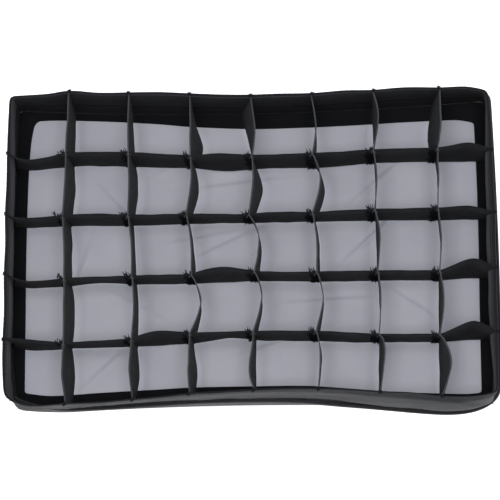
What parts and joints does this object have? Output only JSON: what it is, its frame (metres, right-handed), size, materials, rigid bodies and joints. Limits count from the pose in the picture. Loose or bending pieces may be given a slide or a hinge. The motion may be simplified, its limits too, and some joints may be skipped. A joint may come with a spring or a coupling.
{
  "type": "rectangular softbox with fabric grid",
  "caption": "Fabric light box with a bowed front, a white diffuser behind a deep egg-crate cloth grid, four bowed rods and a turning bayonet lamp ring.",
  "frame": {"origin": "on the ground under the middle of the lamp ring, with the box lying on the ring's bayonet skirt", "axes": "+Z the way the light leaves, +X along the long side, +Y towards the top side"},
  "size_m": [0.6102, 0.3964, 0.3015],
  "materials": {
    "shell_cloth": "black coated nylon, silver lining inside",
    "grid_cloth": "black polyester grid cloth",
    "hem_webbing": "black ribbed webbing and binding tape",
    "hook_and_loop": "black hook and loop tape",
    "elastic": "black ribbed elastic",
    "diffuser_cloth": "white translucent diffusion cloth",
    "ring_metal": "black anodised satin",
    "insert_metal": "turned, satin",
    "screw_steel": "zinc plated",
    "knob_plastic": "moulded, fine texture",
    "rod_fibreglass": "pultruded fibreglass, black",
    "tip_rubber": "moulded rubber"
  },
  "bodies": {
    "housing": {"speed_ring": "ring_metal", "rod_socket_1": "ring_metal", "rod_socket_2": "ring_metal", "rod_socket_3": "ring_metal", "rod_socket_4": "ring_metal", "socket_screw_1": "screw_steel", "socket_screw_2": "screw_steel", "socket_screw_3": "screw_steel", "socket_screw_4": "screw_steel", "rod_1": "rod_fibreglass", "rod_2": "rod_fibreglass", "rod_3": "rod_fibreglass", "rod_4": "rod_fibreglass", "rod_tip_1": "tip_rubber", "rod_tip_2": "tip_rubber", "rod_tip_3": "tip_rubber", "rod_tip_4": "tip_rubber", "rod_sleeve_1": "hem_webbing", "rod_sleeve_2": "hem_webbing", "rod_sleeve_3": "hem_webbing", "rod_sleeve_4": "hem_webbing", "panel_top": "shell_cloth", "panel_bottom": "shell_cloth", "panel_right": "shell_cloth", "panel_left": "shell_cloth", "rear_collar": "hem_webbing", "front_lip": "hem_webbing", "lip_loop_tape": "hook_and_loop", "inner_baffle": "diffuser_cloth", "baffle_tie_1": "elastic", "baffle_tie_2": "elastic", "baffle_tie_3": "elastic", "baffle_tie_4": "elastic"},
    "mount": {"mount_insert": "insert_metal", "insert_retainer": "ring_metal", "retainer_screw_1": "screw_steel", "retainer_screw_2": "screw_steel", "retainer_screw_3": "screw_steel", "retainer_screw_4": "screw_steel"},
    "lock_knob": {"lock_knob": "knob_plastic"},
    "diffuser": {"front_diffuser": "diffuser_cloth", "diffuser_border": "hem_webbing"},
    "grid": {"grid_border": "grid_cloth", "grid_rim_binding": "hem_webbing", "grid_hook_tape": "hook_and_loop", "grid_divider_v1": "grid_cloth", "grid_divider_v2": "grid_cloth", "grid_divider_v3": "grid_cloth", "grid_divider_v4": "grid_cloth", "grid_divider_v5": "grid_cloth", "grid_divider_v6": "grid_cloth", "grid_divider_v7": "grid_cloth", "grid_divider_h1": "grid_cloth", "grid_divider_h2": "grid_cloth", "grid_divider_h3": "grid_cloth", "grid_divider_h4": "grid_cloth"}
  },
  "joints": [
    {"name": "insert_turn", "type": "hinge", "parent": "housing", "child": "mount", "pos_m": [0, 0, 0.012], "axis": [0, 0, 1], "continuous": true},
    {"name": "lock_knob_turn", "type": "hinge", "parent": "housing", "child": "lock_knob", "pos_m": [0, -0.09, 0.015], "axis": [0, -1, 0], "range_deg": [0, 360]},
    {"name": "grid_lift", "type": "slide", "parent": "housing", "child": "grid", "axis": [0, 0, 1], "range_m": [0, 0.08]},
    {"name": "diffuser_lift", "type": "slide", "parent": "housing", "child": "diffuser", "axis": [0, 0, 1], "range_m": [0, 0.04]}
  ],
  "couplings": [
    {"joint": "diffuser_lift", "follows": "grid_lift", "ratio": 0.5}
  ]
}
